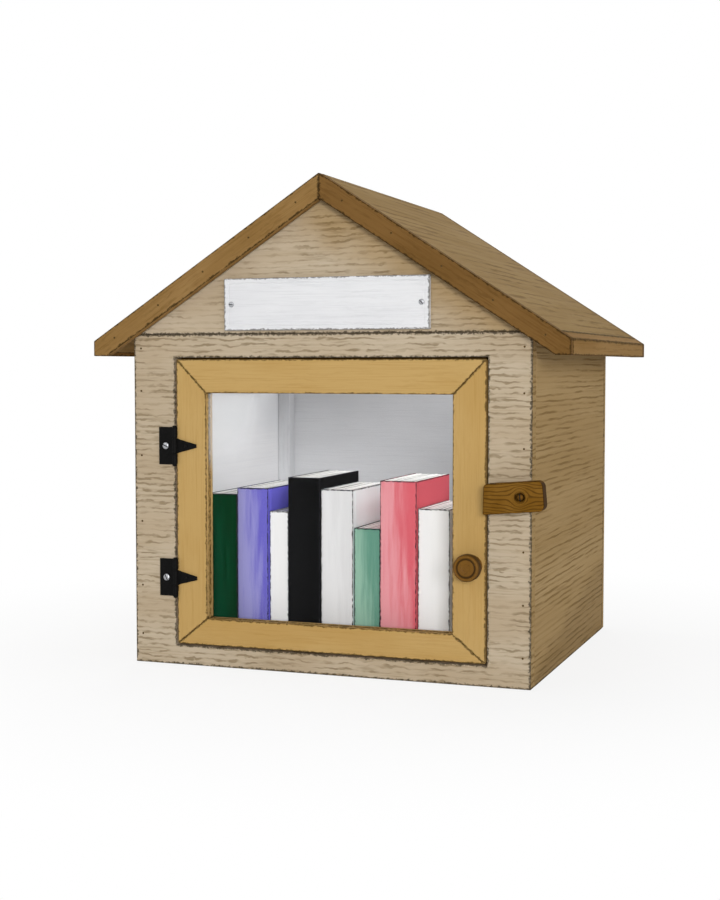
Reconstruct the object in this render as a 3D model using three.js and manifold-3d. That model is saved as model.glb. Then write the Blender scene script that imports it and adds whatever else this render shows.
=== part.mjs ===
// Street book exchange box: a small gabled timber house with a glazed door, a turn button and books.
// Millimetres, +Z up. The door faces -Y, and +X is to the right of someone who stands in front of it.
import * as THREE from 'three';
import { mergeVertices } from 'three/addons/utils/BufferGeometryUtils.js';
import Module from 'manifold-3d';

const wasm = await Module();
wasm.setup();

// Body
const bodyWidth = 480;
const bodyDepth = 420;
const wallHeight = 388;
const frontBoard = 18;
const sideBoard = 18;
const backBoard = 12;
const floorBoard = 15;
const cornerBatten = 18;
const battenDrop = 23;

// Gaps and cuts
const seatGap = 0.3;
const runningGap = 0.12;
const overrun = 2;

// Roof
const roofPitch = THREE.MathUtils.degToRad(33);
const roofBoard = 18;
const eaveOverhang = 45;
const frontOverhang = 16;
const backOverhang = 36;
const trimBoard = 12;
const trimDrop = 6;
const gableTipCut = 6;
const eaveTipCut = 11;
const ridgeBattenWidth = 36;
const ridgeBattenHeight = 34;

// Margins of the front panel round the door opening
const leftMargin = 53;
const rightMargin = 49;
const topMargin = 27;
const bottomMargin = 23;

// Door
const doorGap = 2;
const doorStile = 38;
const doorTopRail = 39;
const doorBottomRail = 31;
const frontLip = 7;
const rabbetWidth = 8;
const paneThickness = 3;
const beadDepth = 7;
const stopWidth = 20;
const stopThickness = 10;
const stopLap = 8;

// Hinges
const topHingeDrop = 101;
const bottomHingeRise = 78;
const leafHeight = 44;
const leafWidth = 21;
const strapHeight = 18;
const strapLength = 27;
const strapTip = 4;
const plateThickness = 2;
const barrelRadius = 3.2;
const pinRadius = 1.5;
const pinHeadRadius = 2.5;
const pinHeadHeight = 1.2;
const leafScrewInset = 12;
const strapScrewInset = 13;

// Screws: radius of the head and the shank, height of the head, length of the shank
const leafScrew = { head: 4.2, shank: 1.7, cap: 1.6, length: 15 };
const strapScrew = { head: 2.6, shank: 1.4, cap: 1.1, length: 13 };
const signScrew = { head: 3.2, shank: 1.5, cap: 1.3, length: 18 };
const knobScrew = { head: 4, shank: 2, cap: 1.8, length: 32 };
const latchScrew = { head: 4.4, shank: 2.5, cap: 3, length: 28 };

// Knob
const knobLength = 26;
const knobRadius = 15;
const knobNeckRadius = 9;
const knobFootRadius = 12;
const knobRingRadius = 11.5;
const knobRingWidth = 2;
const knobDish = 1;
const knobRounding = 4;
const knobRises = { foot: 2, neck: 4, throat: 7.5, shoulder: 11, head: 14 };
const knobFromDoorEdge = 15.5;
const knobRise = 108;

// Turn button
const latchWidth = 33;
const latchThickness = 16;
const latchTail = 26;
const latchDroop = THREE.MathUtils.degToRad(5);
const latchHeight = 211;
const latchDoorClearance = 1.2;
const latchEndRadius = 7;
const latchNoseRadius = 2;
const latchBrowRadius = 5;
const counterboreRadius = 5.4;
const counterboreDepth = 4;
const washerRadius = 9;
const washerThickness = 1.6;

// Sign board
const signWidth = 246;
const signHeight = 59;
const signThickness = 6;
const signRise = 4;
const signOffset = 3;
const signScrewInset = 9;

// Books: thickness of the spine, height, depth from spine to fore edge, and how far each stands back in the row
const darkGreenBook = { thickness: 39, height: 184, depth: 128, setback: 3 };
const violetBook = { thickness: 40, height: 192, depth: 132, setback: 0 };
const whiteSlimBook = { thickness: 24, height: 165, depth: 106, setback: 5 };
const blackBook = { thickness: 40, height: 206, depth: 134, setback: 1 };
const lightGreyBook = { thickness: 40, height: 193, depth: 126, setback: 2 };
const tealBook = { thickness: 32, height: 149, depth: 100, setback: 4 };
const coralBook = { thickness: 44, height: 205, depth: 132, setback: 0 };
const whiteBook = { thickness: 38, height: 174, depth: 118, setback: 3 };
const bookGap = 0.8;
const bookRowInset = 55;
const bookRowSetback = 11;
const coverThickness = 1.6;
const pageInset = 0.8;
const spineRound = 3;

// Roundness, as counts
const screwSides = 20;
const barrelSides = 24;
const knobSides = 36;
const arcSteps = 6;

// Places that several pieces share
const halfWidth = bodyWidth / 2;
const frontFace = -bodyDepth / 2;
const backFace = bodyDepth / 2;
const frontInside = frontFace + frontBoard;
const backInside = backFace - backBoard;
const sideInside = halfWidth - sideBoard;
const floorTop = floorBoard;
const eaveX = halfWidth + eaveOverhang;
const roofFront = frontFace - frontOverhang;
const roofBack = backFace + backOverhang;
const roofRise = roofBoard / Math.cos(roofPitch);
const trimFall = trimDrop / Math.cos(roofPitch);
const eaveFoot = roofUnder(eaveX) - trimFall + eaveTipCut;
const opening = {
  left: -halfWidth + leftMargin,
  right: halfWidth - rightMargin,
  bottom: bottomMargin,
  top: wallHeight - topMargin,
};
const door = inset(opening, doorGap);
const sight = {
  left: door.left + doorStile,
  right: door.right - doorStile,
  bottom: door.bottom + doorBottomRail,
  top: door.top - doorTopRail,
};
const rabbet = inset(sight, -rabbetWidth);
const stopEdge = inset(door, stopLap);
const hingeX = (opening.left + door.left) / 2;
const hingeY = frontFace - seatGap - barrelRadius;
const plateBack = frontFace - seatGap;
const plateFront = plateBack - plateThickness;
const hingeHeights = [door.top - topHingeDrop, door.bottom + bottomHingeRise];
const mitreShift = seatGap / Math.SQRT2;
const latchX = halfWidth - sideBoard / 2;
const latchBack = frontFace - seatGap - washerThickness - seatGap;
const latchFront = latchBack - latchThickness;
const knobX = door.right - knobFromDoorEdge;
const knobZ = door.bottom + knobRise;
const knobFront = frontFace - seatGap - knobLength;
const signX = { left: signOffset - signWidth / 2, right: signOffset + signWidth / 2 };
const signZ = { bottom: wallHeight + signRise, top: wallHeight + signRise + signHeight };
const signBack = frontFace - seatGap;
const signFront = signBack - signThickness;

// A frame moved inwards on its four sides
function inset(frame, by) {
  return {
    left: frame.left + by,
    right: frame.right - by,
    bottom: frame.bottom + by,
    top: frame.top - by,
  };
}

// Height of the underside of the roof boards above a place across the house
function roofUnder(x) {
  return wallHeight + seatGap + (halfWidth - Math.abs(x)) * Math.tan(roofPitch);
}

// Shapes

function block([x0, x1], [y0, y1], [z0, z1]) {
  const shape = new THREE.BoxGeometry(x1 - x0, y1 - y0, z1 - z0);
  return shape.translate((x0 + x1) / 2, (y0 + y1) / 2, (z0 + z1) / 2);
}

// A flat shape drawn out along +Z
function drawnOut(shape, depth) {
  return new THREE.ExtrudeGeometry(shape, { depth, bevelEnabled: false, curveSegments: arcSteps });
}

// An outline of points in X and Z, drawn out along Y
function boardAlongY(outline, [y0, y1]) {
  const shape = outline instanceof THREE.Shape ? outline : new THREE.Shape(outline.map(toVector));
  return drawnOut(shape, y1 - y0).rotateX(Math.PI / 2).translate(0, y1, 0);
}

function toVector([x, z]) {
  return new THREE.Vector2(x, z);
}

// A round rod along Y
function rodAlongY(radius, [y0, y1], x, z, sides = screwSides) {
  return new THREE.CylinderGeometry(radius, radius, y1 - y0, sides).translate(x, (y0 + y1) / 2, z);
}

// A round rod along Z
function rodAlongZ(radius, [z0, z1], x, y, sides = barrelSides) {
  const rod = new THREE.CylinderGeometry(radius, radius, z1 - z0, sides).rotateX(Math.PI / 2);
  return rod.translate(x, y, (z0 + z1) / 2);
}

// A turned shape along Y: the profile runs from the axis to the axis as radius and distance along Y
function turnedAlongY(profile, x, y, z, sides = screwSides) {
  return new THREE.LatheGeometry(profile.map(toVector), sides).translate(x, y, z);
}

// A closed geometry as a solid that can be joined and cut
function solid(geometry) {
  const bare = geometry.clone();
  bare.deleteAttribute('normal');
  bare.deleteAttribute('uv');
  const merged = mergeVertices(bare);
  return new wasm.Manifold(
    new wasm.Mesh({
      numProp: 3,
      vertProperties: new Float32Array(merged.attributes.position.array),
      triVerts: new Uint32Array(merged.index.array),
    }),
  );
}

// The solid as a geometry again
function surface(body) {
  const mesh = body.getMesh();
  const shape = new THREE.BufferGeometry();
  shape.setAttribute('position', new THREE.BufferAttribute(mesh.vertProperties, mesh.numProp));
  shape.setIndex(new THREE.BufferAttribute(mesh.triVerts, 1));
  const flat = shape.toNonIndexed();
  flat.computeVertexNormals();
  return flat;
}

function join(...shapes) {
  return surface(shapes.map(solid).reduce((whole, next) => whole.add(next)));
}

function cut(shape, ...tools) {
  return surface(tools.map(solid).reduce((rest, tool) => rest.subtract(tool), solid(shape)));
}

// Materials

function weatheredTimber() {
  return new THREE.MeshStandardMaterial({ color: 0xc3b296, roughness: 0.85, metalness: 0 });
}

function brownTimber() {
  return new THREE.MeshStandardMaterial({ color: 0x947852, roughness: 0.85, metalness: 0 });
}

function trimTimber() {
  return new THREE.MeshStandardMaterial({ color: 0x8c693c, roughness: 0.8, metalness: 0 });
}

function doorTimber() {
  return new THREE.MeshStandardMaterial({ color: 0xbe9b5f, roughness: 0.65, metalness: 0 });
}

function insideTimber() {
  return new THREE.MeshStandardMaterial({ color: 0xb9b9b9, roughness: 0.8, metalness: 0 });
}

function darkTimber() {
  return new THREE.MeshStandardMaterial({ color: 0x785523, roughness: 0.6, metalness: 0 });
}

function clearPane() {
  return new THREE.MeshStandardMaterial({
    color: 0xf2f6f6,
    roughness: 0.05,
    metalness: 0,
    transparent: true,
    opacity: 0.3,
  });
}

function blackIron() {
  return new THREE.MeshStandardMaterial({ color: 0x141414, roughness: 0.5, metalness: 0.6 });
}

function brightSteel() {
  return new THREE.MeshStandardMaterial({ color: 0xc8c8c8, roughness: 0.3, metalness: 1 });
}

function darkBronze() {
  return new THREE.MeshStandardMaterial({ color: 0x5a4324, roughness: 0.45, metalness: 1 });
}

function signPaint() {
  return new THREE.MeshStandardMaterial({ color: 0xdedede, roughness: 0.6, metalness: 0 });
}

function bookCover(colour) {
  return new THREE.MeshStandardMaterial({ color: colour, roughness: 0.55, metalness: 0 });
}

// The group that holds every piece, with its origin under the middle of the whole footprint
const frontMost = Math.min(knobFront, latchFront, roofFront);
const house = new THREE.Group();
house.position.y = -(frontMost + roofBack) / 2;

function piece(name, geometry, material) {
  const mesh = new THREE.Mesh(geometry, material);
  mesh.name = name;
  house.add(mesh);
  return mesh;
}

const sides = [
  ['left', -1],
  ['right', 1],
];

// A span across the house, given for the right side and mirrored for the left
function across(side, x0, x1) {
  return side > 0 ? [x0, x1] : [-x1, -x0];
}

// Carcass

function makeFloor() {
  const shape = block(
    [-sideInside + seatGap, sideInside - seatGap],
    [frontInside + seatGap, backInside - seatGap],
    [0, floorTop],
  );
  piece('floor_panel', shape, insideTimber());
}

function makeSidePanel(name, side) {
  const outline = [
    [side * halfWidth, 0],
    [side * sideInside, 0],
    [side * sideInside, roofUnder(sideInside) - seatGap],
    [side * halfWidth, roofUnder(halfWidth) - seatGap],
  ];
  const shape = boardAlongY(outline, [frontInside + seatGap, backInside - seatGap]);
  piece(`side_panel_${name}`, shape, brownTimber());
}

// The front panel, with the door opening and the holes for the screws of the hinges and the turn button
function makeFrontPanel() {
  const through = [frontFace - overrun, frontInside + overrun];
  const panel = block([-halfWidth, halfWidth], [frontFace, frontInside], [0, wallHeight]);
  const doorway = block([opening.left, opening.right], through, [opening.bottom, opening.top]);
  const hingeHoles = hingeHeights.map((z) => screwHole(leafScrew, hingeX - leafScrewInset, z, through));
  const latchHole = screwHole(latchScrew, latchX, latchHeight, through);
  piece('front_panel', cut(panel, doorway, ...hingeHoles, latchHole), weatheredTimber());
}

function makeBackPanel() {
  const shape = block([-halfWidth, halfWidth], [backInside, backFace], [0, wallHeight]);
  piece('back_panel', shape, weatheredTimber());
}

// A gable board stands on the panel below it and follows the roof; its thin tips are cut off upright
function gableOutline() {
  const foot = wallHeight + seatGap;
  const tip = halfWidth - gableTipCut;
  const apex = roofUnder(0) - seatGap;
  const edge = roofUnder(tip) - seatGap;
  return [
    [-tip, foot],
    [tip, foot],
    [tip, edge],
    [0, apex],
    [-tip, edge],
  ];
}

function makeFrontGable() {
  const board = boardAlongY(gableOutline(), [frontFace, frontInside]);
  const through = [frontFace - overrun, frontInside + overrun];
  const holes = signScrewPlaces().map(([x, z]) => screwHole(signScrew, x, z, through));
  piece('gable_front', cut(board, ...holes), weatheredTimber());
}

function makeBackGable() {
  piece('gable_back', boardAlongY(gableOutline(), [backInside, backFace]), weatheredTimber());
}

// Square battens stand in the four inside corners and tie the panels together
function makeCornerBattens() {
  const ends = [
    ['front', frontInside + seatGap, frontInside + seatGap + cornerBatten],
    ['back', backInside - seatGap - cornerBatten, backInside - seatGap],
  ];
  for (const [end, y0, y1] of ends) {
    for (const [name, side] of sides) {
      const span = across(side, sideInside - seatGap - cornerBatten, sideInside - seatGap);
      const shape = block(span, [y0, y1], [floorTop + seatGap, wallHeight - battenDrop]);
      piece(`corner_batten_${end}_${name}`, shape, insideTimber());
    }
  }
}

// Strips behind the front panel that the closed door rests against
function makeDoorStops() {
  const depth = [frontInside + seatGap, frontInside + seatGap + stopThickness];
  const upright = [floorTop + seatGap, stopEdge.top - seatGap];
  const outer = { left: stopEdge.left - stopWidth, right: stopEdge.right + stopWidth };
  piece('door_stop_left', block([outer.left, stopEdge.left], depth, upright), darkTimber());
  piece('door_stop_right', block([stopEdge.right, outer.right], depth, upright), darkTimber());
  const top = block([outer.left, outer.right], depth, [stopEdge.top, stopEdge.top + stopWidth]);
  piece('door_stop_top', top, darkTimber());
}

// Roof

function makeRoofPanel(name, side) {
  const ridge = seatGap / 2;
  const foot = eaveX - trimBoard - seatGap;
  const outline = [
    [side * ridge, roofUnder(ridge)],
    [side * foot, roofUnder(foot)],
    [side * foot, roofUnder(foot) + roofRise],
    [side * ridge, roofUnder(ridge) + roofRise],
  ];
  const span = [roofFront + trimBoard + seatGap, roofBack - trimBoard - seatGap];
  piece(`roof_panel_${name}`, boardAlongY(outline, span), brownTimber());
}

// Bargeboards cover the ends of the roof boards and meet in a plumb joint at the ridge. Their sharp lower
// tips are cut off level with the foot of the fascia.
function makeBargeboard(end, name, side, [y0, y1]) {
  const ridge = seatGap / 2;
  const outline = [
    [side * ridge, roofUnder(ridge) - trimFall],
    [side * (eaveX - eaveTipCut / Math.tan(roofPitch)), eaveFoot],
    [side * eaveX, eaveFoot],
    [side * eaveX, roofUnder(eaveX) + roofRise],
    [side * ridge, roofUnder(ridge) + roofRise],
  ];
  piece(`bargeboard_${end}_${name}`, boardAlongY(outline, [y0, y1]), trimTimber());
}

// An upright board along each eave, with its top planed to the slope
function makeFascia(name, side) {
  const inner = eaveX - trimBoard;
  const outline = [
    [side * inner, eaveFoot],
    [side * eaveX, eaveFoot],
    [side * eaveX, roofUnder(eaveX) + roofRise],
    [side * inner, roofUnder(inner) + roofRise],
  ];
  const span = [roofFront + trimBoard + seatGap, roofBack - trimBoard - seatGap];
  piece(`eave_fascia_${name}`, boardAlongY(outline, span), trimTimber());
}

// A batten under the ridge, from gable to gable, that the two roof boards are fixed to
function makeRidgeBatten() {
  const half = ridgeBattenWidth / 2;
  const apex = roofUnder(0) - seatGap;
  const shoulder = roofUnder(half) - seatGap;
  const outline = [
    [-half, apex - ridgeBattenHeight],
    [half, apex - ridgeBattenHeight],
    [half, shoulder],
    [0, apex],
    [-half, shoulder],
  ];
  const span = [frontInside + seatGap, backInside - seatGap];
  piece('ridge_batten', boardAlongY(outline, span), insideTimber());
}

function makeRoof() {
  for (const [name, side] of sides) {
    makeRoofPanel(name, side);
    makeBargeboard('front', name, side, [roofFront, roofFront + trimBoard]);
    makeBargeboard('back', name, side, [roofBack - trimBoard, roofBack]);
    makeFascia(name, side);
  }
  makeRidgeBatten();
}

// Screws

// A screw that is driven along Y: its head bears at headY, and towards is +1 or -1 for the way it points
function screw(kind, x, headY, z, towards) {
  const edge = kind.cap / 2;
  const tip = kind.shank / 2;
  const profile = [
    [0, -kind.cap],
    [kind.head - edge, -kind.cap],
    [kind.head, -kind.cap + edge],
    [kind.head, 0],
    [kind.shank, 0],
    [kind.shank, kind.length - kind.shank],
    [tip, kind.length],
    [0, kind.length],
  ];
  const turned = turnedAlongY(profile, 0, 0, 0);
  if (towards < 0) turned.rotateX(Math.PI);
  return turned.translate(x, headY, z);
}

function screwHole(kind, x, z, span) {
  return rodAlongY(kind.shank + seatGap, span, x, z);
}

// Door

// One board of a mitred frame in the XZ plane; shift opens each mitre a little
function mitredOutline(outer, inner, which, shift) {
  const outlines = {
    left: [
      [outer.left, outer.bottom + shift],
      [inner.left, inner.bottom + shift],
      [inner.left, inner.top - shift],
      [outer.left, outer.top - shift],
    ],
    right: [
      [outer.right, outer.bottom + shift],
      [outer.right, outer.top - shift],
      [inner.right, inner.top - shift],
      [inner.right, inner.bottom + shift],
    ],
    top: [
      [outer.left + shift, outer.top],
      [inner.left + shift, inner.top],
      [inner.right - shift, inner.top],
      [outer.right - shift, outer.top],
    ],
    bottom: [
      [outer.left + shift, outer.bottom],
      [outer.right - shift, outer.bottom],
      [inner.right - shift, inner.bottom],
      [inner.left + shift, inner.bottom],
    ],
  };
  return outlines[which];
}

// The four boards of the door, rabbeted at the back for the pane and its beads
function makeDoorFrame() {
  const boards = [
    ['door_stile_left', 'left'],
    ['door_stile_right', 'right'],
    ['door_rail_top', 'top'],
    ['door_rail_bottom', 'bottom'],
  ];
  const through = [frontFace - overrun, frontInside + overrun];
  const step = block(
    [rabbet.left, rabbet.right],
    [frontFace + frontLip, frontInside + overrun],
    [rabbet.bottom, rabbet.top],
  );
  const strapHoles = hingeHeights.map((z) => screwHole(strapScrew, hingeX + strapScrewInset, z, through));
  const knobHole = screwHole(knobScrew, knobX, knobZ, through);
  const holes = { left: strapHoles, right: [knobHole], top: [], bottom: [] };
  for (const [name, which] of boards) {
    const board = boardAlongY(mitredOutline(door, sight, which, mitreShift), [frontFace, frontInside]);
    piece(name, cut(board, step, ...holes[which]), doorTimber());
  }
}

function makePane() {
  const edge = inset(rabbet, seatGap);
  const front = frontFace + frontLip + seatGap;
  const depth = [front, front + paneThickness];
  piece('door_pane', block([edge.left, edge.right], depth, [edge.bottom, edge.top]), clearPane());
}

// Slim mitred beads hold the pane in its rabbet from behind
function makeGlazingBeads() {
  const outer = inset(rabbet, seatGap);
  const front = frontFace + frontLip + seatGap + paneThickness + seatGap;
  for (const which of ['left', 'right', 'top', 'bottom']) {
    const outline = mitredOutline(outer, sight, which, mitreShift);
    piece(`glazing_bead_${which}`, boardAlongY(outline, [front, front + beadDepth]), doorTimber());
  }
}

// Hinges

function knuckle(z0, z1) {
  return rodAlongZ(barrelRadius, [z0, z1], hingeX, hingeY);
}

function pinBore(z) {
  const reach = leafHeight / 2 + overrun;
  return rodAlongZ(pinRadius + runningGap, [z - reach, z + reach], hingeX, hingeY);
}

// The leaf on the front panel carries the upper and lower knuckles
function makeLeaf(name, z) {
  const half = leafHeight / 2;
  const slot = strapHeight / 2 + seatGap;
  const plate = block([hingeX - leafWidth, hingeX], [plateFront, plateBack], [z - half, z + half]);
  const clear = block(
    [hingeX - barrelRadius - seatGap, hingeX + barrelRadius + overrun],
    [hingeY - barrelRadius - overrun, plateBack + overrun],
    [z - slot, z + slot],
  );
  const through = [plateFront - overrun, plateBack + overrun];
  const hole = screwHole(leafScrew, hingeX - leafScrewInset, z, through);
  const barrel = knuckle(z - half, z + half);
  piece(`hinge_${name}_leaf`, cut(join(plate, barrel), clear, pinBore(z), hole), blackIron());
}

// The strap on the door is a tapered tongue with the middle knuckle
function makeStrap(name, z) {
  const half = strapHeight / 2;
  const outline = [
    [hingeX, z - half],
    [hingeX + strapLength, z - strapTip / 2],
    [hingeX + strapLength, z + strapTip / 2],
    [hingeX, z + half],
  ];
  const tongue = boardAlongY(outline, [plateFront, plateBack]);
  const through = [plateFront - overrun, plateBack + overrun];
  const hole = screwHole(strapScrew, hingeX + strapScrewInset, z, through);
  const whole = join(tongue, knuckle(z - half, z + half));
  piece(`hinge_${name}_strap`, cut(whole, pinBore(z), hole), blackIron());
}

function makePin(name, z) {
  const half = leafHeight / 2 + seatGap;
  const shaft = rodAlongZ(pinRadius, [z - half - pinHeadHeight, z + half + pinHeadHeight], hingeX, hingeY);
  const top = rodAlongZ(pinHeadRadius, [z + half, z + half + pinHeadHeight], hingeX, hingeY);
  const bottom = rodAlongZ(pinHeadRadius, [z - half - pinHeadHeight, z - half], hingeX, hingeY);
  piece(`hinge_${name}_pin`, join(shaft, top, bottom), blackIron());
}

function makeHinges() {
  ['top', 'bottom'].forEach((name, i) => {
    const z = hingeHeights[i];
    const headY = plateFront - seatGap;
    makeLeaf(name, z);
    makeStrap(name, z);
    makePin(name, z);
    const wide = screw(leafScrew, hingeX - leafScrewInset, headY, z, 1);
    const slim = screw(strapScrew, hingeX + strapScrewInset, headY, z, 1);
    piece(`hinge_${name}_leaf_screw`, wide, brightSteel());
    piece(`hinge_${name}_strap_screw`, slim, blackIron());
  });
}

// Knob, turned from one piece, with a ring round a shallow dish in its face
function makeKnob() {
  const profile = [
    [0, knobDish - knobLength],
    [knobRingRadius - knobRingWidth, knobDish - knobLength],
    [knobRingRadius, -knobLength],
    [knobRadius - knobDish, knobDish - knobLength],
    [knobRadius, knobRounding - knobLength],
    [knobRadius, -knobRises.head],
    [knobFootRadius, -knobRises.shoulder],
    [knobNeckRadius, -knobRises.throat],
    [knobNeckRadius, -knobRises.neck],
    [knobFootRadius, -knobRises.foot],
    [knobFootRadius, 0],
    [0, 0],
  ];
  const turned = turnedAlongY(profile, knobX, frontFace - seatGap, knobZ, knobSides);
  const screwReach = knobScrew.length - frontBoard;
  const bore = screwHole(knobScrew, knobX, knobZ, [frontFace - screwReach, frontFace + overrun]);
  piece('door_knob', cut(turned, bore), darkTimber());
  piece('knob_screw', screw(knobScrew, knobX, frontInside + seatGap, knobZ, -1), brightSteel());
}

// Turn button: its pivot screw stands in the front panel, beside the door. At rest its end lies just clear
// of the door's edge. Its lower corner reaches furthest, so turning it up brings that corner over the door.
function latchOutline() {
  const reach = latchX - door.right - latchDoorClearance;
  const half = latchWidth / 2;
  const lower = (reach + half * Math.sin(latchDroop)) / Math.cos(latchDroop);
  const upper = (reach - half * Math.sin(latchDroop)) / Math.cos(latchDroop);
  const shape = new THREE.Shape();
  shape.moveTo(-lower + latchNoseRadius, -half);
  shape.absarc(latchTail - latchEndRadius, -half + latchEndRadius, latchEndRadius, -Math.PI / 2, 0);
  shape.absarc(latchTail - latchEndRadius, half - latchEndRadius, latchEndRadius, 0, Math.PI / 2);
  shape.lineTo(-upper + latchBrowRadius, half);
  shape.quadraticCurveTo(-upper, half, -upper, half - latchBrowRadius);
  shape.lineTo(-lower, -half + latchNoseRadius);
  shape.quadraticCurveTo(-lower, -half, -lower + latchNoseRadius, -half);
  return shape;
}

function makeLatch() {
  const bar = boardAlongY(latchOutline(), [-latchThickness, 0]);
  bar.rotateY(-latchDroop).translate(latchX, latchBack, latchHeight);
  const through = [latchFront - overrun, latchBack + overrun];
  const bore = rodAlongY(latchScrew.shank + runningGap, through, latchX, latchHeight);
  const seat = [latchFront - overrun, latchFront + counterboreDepth];
  const counterbore = rodAlongY(counterboreRadius, seat, latchX, latchHeight);
  piece('latch_bar', cut(bar, bore, counterbore), darkTimber());

  const washerFront = frontFace - seatGap - washerThickness;
  const disc = rodAlongY(washerRadius, [washerFront, frontFace - seatGap], latchX, latchHeight);
  const eye = screwHole(latchScrew, latchX, latchHeight, [latchFront, frontInside]);
  piece('latch_washer', cut(disc, eye), brightSteel());

  const headY = latchFront + counterboreDepth - seatGap;
  piece('latch_screw', screw(latchScrew, latchX, headY, latchHeight, 1), darkBronze());
}

// Sign board, bare, on the front gable
function signScrewPlaces() {
  const z = (signZ.bottom + signZ.top) / 2;
  return [
    [signX.left + signScrewInset, z],
    [signX.right - signScrewInset, z],
  ];
}

function makeSign() {
  const board = block([signX.left, signX.right], [signFront, signBack], [signZ.bottom, signZ.top]);
  const through = [signFront - overrun, signBack + overrun];
  const holes = signScrewPlaces().map(([x, z]) => screwHole(signScrew, x, z, through));
  piece('sign_board', cut(board, ...holes), signPaint());
  ['left', 'right'].forEach((name, i) => {
    const [x, z] = signScrewPlaces()[i];
    piece(`sign_screw_${name}`, screw(signScrew, x, signFront - seatGap, z, 1), brightSteel());
  });
}

// Books

// A bound book: two cover boards and a rounded spine round a block of pages that is set in on three sides
function makeBook(name, book, colour, x0, y0) {
  const z0 = floorTop + seatGap;
  const x1 = x0 + book.thickness;
  const y1 = y0 + book.depth;
  const z1 = z0 + book.height;
  const middle = (x0 + x1) / 2;
  const section = new THREE.Shape();
  section.moveTo(x0, y0 + spineRound);
  section.quadraticCurveTo(middle, y0 - spineRound, x1, y0 + spineRound);
  section.lineTo(x1, y1);
  section.lineTo(x1 - coverThickness, y1);
  section.lineTo(x1 - coverThickness, y0 + spineRound + coverThickness);
  section.lineTo(x0 + coverThickness, y0 + spineRound + coverThickness);
  section.lineTo(x0 + coverThickness, y1);
  section.lineTo(x0, y1);
  const cover = drawnOut(section, book.height).translate(0, 0, z0);
  const pages = block(
    [x0 + coverThickness / 2, x1 - coverThickness / 2],
    [y0 + spineRound, y1 - pageInset],
    [z0 + pageInset, z1 - pageInset],
  );
  piece(name, join(cover, pages), bookCover(colour));
}

// The row, from the left
function makeBooks() {
  const row = [
    ['book_dark_green', darkGreenBook, 0x0a4a26],
    ['book_violet', violetBook, 0x8a84cc],
    ['book_white_slim', whiteSlimBook, 0xf0f0ee],
    ['book_black', blackBook, 0x1c1c1e],
    ['book_light_grey', lightGreyBook, 0xdadada],
    ['book_teal', tealBook, 0x6fa088],
    ['book_coral', coralBook, 0xdc6676],
    ['book_white', whiteBook, 0xf4f2ec],
  ];
  const rowFront = frontInside + seatGap + stopThickness + bookRowSetback;
  let x = -sideInside + bookRowInset;
  for (const [name, book, colour] of row) {
    makeBook(name, book, colour, x, rowFront + book.setback);
    x += book.thickness + bookGap;
  }
}

makeFloor();
for (const [name, side] of sides) makeSidePanel(name, side);
makeFrontPanel();
makeBackPanel();
makeFrontGable();
makeBackGable();
makeCornerBattens();
makeDoorStops();
makeRoof();
makeDoorFrame();
makePane();
makeGlazingBeads();
makeHinges();
makeKnob();
makeLatch();
makeSign();
makeBooks();

export default house;
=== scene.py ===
"""Street book exchange box: finishes, fasteners, books, light and camera round the fixed frame.

Metres, +Z up. The door faces -Y, and +X is to the right of someone who stands in front of it.
"""

import math

import bmesh
import bpy
from mathutils import Matrix, Vector


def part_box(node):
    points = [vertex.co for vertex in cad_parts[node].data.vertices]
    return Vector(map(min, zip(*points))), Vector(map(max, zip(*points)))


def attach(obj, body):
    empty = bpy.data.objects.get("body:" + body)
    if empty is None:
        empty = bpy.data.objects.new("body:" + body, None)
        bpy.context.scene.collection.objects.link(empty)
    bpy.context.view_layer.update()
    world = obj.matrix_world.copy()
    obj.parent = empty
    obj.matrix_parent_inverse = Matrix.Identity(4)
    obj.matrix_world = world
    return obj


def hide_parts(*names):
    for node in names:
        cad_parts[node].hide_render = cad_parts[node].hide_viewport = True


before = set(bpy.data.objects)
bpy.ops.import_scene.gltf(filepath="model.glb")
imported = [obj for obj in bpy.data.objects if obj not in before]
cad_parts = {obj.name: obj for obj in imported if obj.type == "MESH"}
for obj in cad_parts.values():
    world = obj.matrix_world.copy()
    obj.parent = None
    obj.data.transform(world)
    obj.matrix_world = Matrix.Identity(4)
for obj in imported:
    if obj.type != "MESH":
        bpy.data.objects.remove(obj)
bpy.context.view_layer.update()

MM = 0.001
ROOF_PITCH = math.radians(33)

# Vertices that are nearer to each other than this are taken as one
WELD_DISTANCE = 1e-5

# Directions that the grain of a board can follow, with the direction across it
ALONG_X = (Vector((1, 0, 0)), Vector((0, 0, 1)))
ALONG_Y = (Vector((0, 1, 0)), Vector((0, 0, 1)))
ALONG_Z = (Vector((0, 0, 1)), Vector((1, 0, 0)))
FLAT_ALONG_X = (Vector((1, 0, 0)), Vector((0, 1, 0)))
SLOPE = {
    "left": Vector((math.cos(ROOF_PITCH), 0, math.sin(ROOF_PITCH))),
    "right": Vector((math.cos(ROOF_PITCH), 0, -math.sin(ROOF_PITCH))),
}
ROOF_GRAIN = {side: (Vector((0, 1, 0)), slope) for side, slope in SLOPE.items()}
RAKE_GRAIN = {side: (slope, slope.cross(Vector((0, 1, 0)))) for side, slope in SLOPE.items()}

# Camera: the point it looks at, how far off it stands and its angles, and the lens in millimetres
CAMERA_TARGET = Vector((-0.011, -0.065, 0.2485))
CAMERA_DISTANCE = 1.839
CAMERA_AZIMUTH = math.radians(19.9)
CAMERA_ELEVATION = math.radians(3.2)
LENS = 60
SENSOR = 36

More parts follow.
